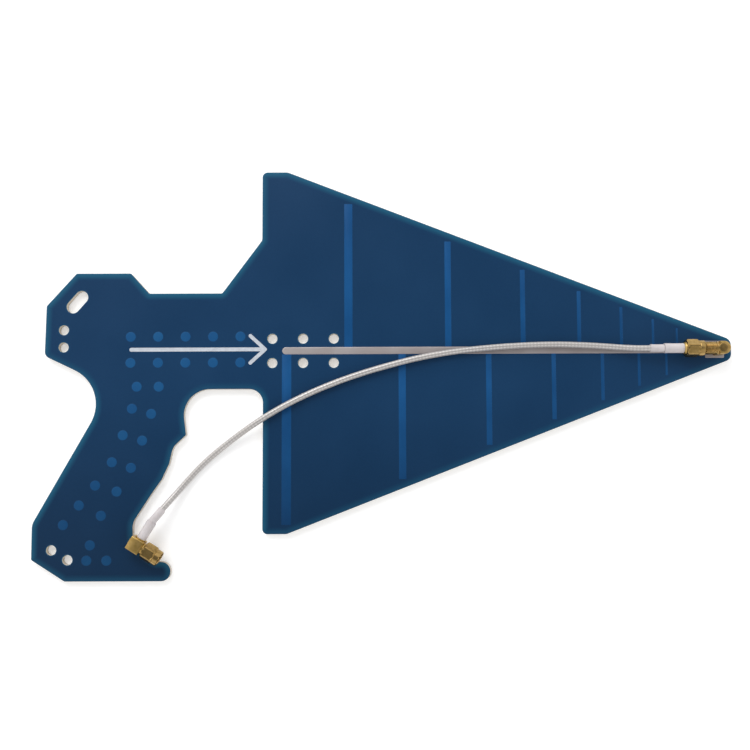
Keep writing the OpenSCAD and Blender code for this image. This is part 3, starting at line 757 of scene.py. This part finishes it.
# Straight plug on the jack
TIP_NUT_BACK, TIP_NUT_TURN = 149.3, 46
shell = (NECK[1:-1] + [(-0.5, 2.05, ""), (-3, 2.05, ""), (-3, 1.57, ""), (-9.8, 1.57, ""),
                       (-9.8, 2.1, ""), (-0.9, 2.1, ""), (-0.9, 2.5, ""), (-0.8, 2.6, ""),
                       (-0.3, 3.05, ""), (-0.1, 3.15, ""), (-0.02, 3.08, ""), (-0.02, 2.88, "")])
piece("tip_plug_shell", [lathe(shell, at_tip(TIP_NUT_BACK), 72)], ["gold_plate"],
      replaces="plug_body")
piece("tip_nut", [lathe(nut_profile(), at_tip(TIP_NUT_BACK, TIP_NUT_TURN), 120)], ["nut_gold"],
      replaces="plug_nut")

# Right-angle plug at the free end
FREE_NUT_BACK, FREE_NUT_TURN = 3.9, 1
elbow_block = block(box_corners(-3.45, 3.45, -3.5, 3.5, 0.5), -3.9, 2.9, 0.22, place=at_elbow())
neck = lathe([(z + FREE_NUT_BACK, r, k) for z, r, k in NECK], at_elbow(), 72)
along_lead = at_elbow() @ Matrix.Rotation(math.pi / 2, 4, "Y")
ferrule = lathe([(3.0, 2.9, ""), (3.85, 2.9, ""), (3.95, 2.8, ""), (3.95, 2.1, ""),
                 (11.3, 2.1, ""), (11.4, 2.0, ""), (11.4, 1.57, ""), (3.0, 1.57, "")],
                along_lead, 48)
piece("free_plug_block", [elbow_block, neck, ferrule], ["gold_plate"], replaces="elbow_body")
piece("free_plug_cap",
      [lathe([(-3.7, 2.65, ""), (-4.1, 2.65, ""), (-4.2, 2.58, ""), (-4.25, 2.4, ""),
              (-4.24, 2.1, ""), (-4.2, 1.2, ""), (-4.19, 0.3, "")], at_elbow(), 64, True)],
      ["nut_gold"], replaces="elbow_cap")
free_place = at_elbow(FREE_NUT_TURN) @ Matrix.Translation(Vector((0, 0, FREE_NUT_BACK)))
piece("free_nut_shell", [lathe(nut_profile(), free_place, 120)], ["nut_gold"], body="free_nut",
      replaces="elbow_nut")

# ---------------------------------------------------------------- white sleeves
SLEEVE_R, SLEEVE_BORE = 2.42, 2.12
TAIL_R, TAIL_BORE = 1.95, 1.52


def sleeve(z0, z1, r, bore):
    """Heat-shrink with soft lips and a faint waist."""
    rows = [(z0, bore, ""), (z0, r - 0.12, ""), (z0 + 0.06, r - 0.03, ""), (z0 + 0.2, r, "")]
    for k in range(1, 12):
        t = k / 12
        rows.append((z0 + 0.2 + (z1 - z0 - 0.4) * t, r - 0.05 * math.sin(math.pi * t) ** 2, ""))
    return rows + [(z1 - 0.2, r, ""), (z1 - 0.06, r - 0.03, ""), (z1, r - 0.12, ""), (z1, bore, "")]


piece("tip_sleeve", [lathe(sleeve(138.8, 148.4, SLEEVE_R, SLEEVE_BORE), at_tip(0), 64)],
      ["shrink_sleeve"], replaces="plug_sleeve")
piece("tip_sleeve_tail", [lathe(sleeve(131.9, 138.8, TAIL_R, TAIL_BORE), at_tip(0), 64)],
      ["shrink_sleeve"], replaces="plug_sleeve_tail")
piece("free_sleeve", [lathe(sleeve(3.96, 13.45, SLEEVE_R, SLEEVE_BORE), along_lead, 64)],
      ["shrink_sleeve"], replaces="elbow_sleeve")
tail_path = smooth(ROUTE[1:6], 12)[11:37]     # the stretch of the lead that the tail grips
tail_radii = [TAIL_R] * (len(tail_path) - 2) + [1.9, 1.6]   # ends in a soft lip
made, _ = tube(tail_path, tail_radii, 48)
piece("free_sleeve_tail", [made], ["shrink_sleeve"], replaces="elbow_sleeve_tail")

# ---------------------------------------------------------------- CAD nodes that stay
for row in frame["record"]["subparts"]:
    shown = frame["nodes"][row["node"]]
    for place in shown.material_slots:
        place.material = MATS[row["material_slot"]]

# ---------------------------------------------------------------- stage and light
FLOOR_LIFT = 0.28           # what brings the lit paper up to white
FLOOR_HALF = 3              # metres


def make_floor():
    """White paper. The lamps light it plainly; seen or mirrored, it is lifted towards white."""
    m, tree, shader, coords = start_material("floor")
    mottle = noise(tree, coords, 9, 3)
    rays = node(tree, "ShaderNodeLightPath").outputs
    seen = math_node(tree, "MAXIMUM", rays["Is Camera Ray"],
                     math_node(tree, "MAXIMUM", rays["Is Glossy Ray"], rays["Is Transmission Ray"]))
    set_in(tree, shader, Roughness=0.9, Specular_IOR_Level=0.1, Emission_Color=(1, 1, 1, 1),
           Base_Color=ramp(tree, mottle, [(0.3, (0.86,) * 3 + (1,)), (0.7, (0.9,) * 3 + (1,))]),
           Emission_Strength=math_node(tree, "MULTIPLY", seen, FLOOR_LIFT))
    mesh = bpy.data.meshes.new("floor")
    h = FLOOR_HALF
    mesh.from_pydata([(-h, -h, 0), (h, -h, 0), (h, h, 0), (-h, h, 0)], [], [(0, 1, 2, 3)])
    mesh.materials.append(m)
    made = bpy.data.objects.new("floor", mesh)
    scene.collection.objects.link(made)


make_floor()


def make_world():
    """A dim ceiling with a bright band of soft light round it, brighter towards the upper left."""
    world = bpy.data.worlds.new("studio")
    scene.world = world
    world.use_nodes = True
    tree = world.node_tree
    way = node(tree, "ShaderNodeTexCoord").outputs["Generated"]
    height = node(tree, "ShaderNodeSeparateXYZ", {0: way}).outputs[2]
    level = ramp(tree, height, [(0.0, (0.95, 0.95, 0.95, 1)), (0.5, (1.15, 1.15, 1.15, 1)),
                                (0.79, (1.1, 1.1, 1.1, 1)), (0.92, (0.3, 0.31, 0.32, 1))])
    toward = node(tree, "ShaderNodeVectorMath", {0: way, 1: (-0.4, 0.76, 0.3)},
                  operation="DOT_PRODUCT").outputs["Value"]
    share = remap(tree, toward, 0.75, 1.1, -0.8, 0.9)
    lit = node(tree, "ShaderNodeVectorMath", {0: level, 1: share}, operation="MULTIPLY")
    tree.links.new(lit.outputs[0], tree.nodes["Background"].inputs[0])
    tree.nodes["Background"].inputs[1].default_value = 0.94


make_world()


def softbox(name, place, target, size, watts):
    """A square area lamp; places and size are in metres."""
    data = bpy.data.lights.new(name, "AREA")
    data.energy, data.size = watts, size
    made = bpy.data.objects.new(name, data)
    made.location = place
    made.rotation_mode = "QUATERNION"
    made.rotation_quaternion = (Vector(target) - Vector(place)).to_track_quat("-Z", "Y")
    scene.collection.objects.link(made)


softbox("key", place=(-0.5, 1.1, 0.85), target=(0, 0, 0), size=1.1, watts=7.5)
softbox("glint", place=(-0.45, 0.8, 0.75), target=(0.05, 0, 0), size=0.12, watts=1.1)
softbox("under_glint", place=(0.25, -0.95, 0.6), target=(0.05, 0, 0), size=0.12, watts=0.7)
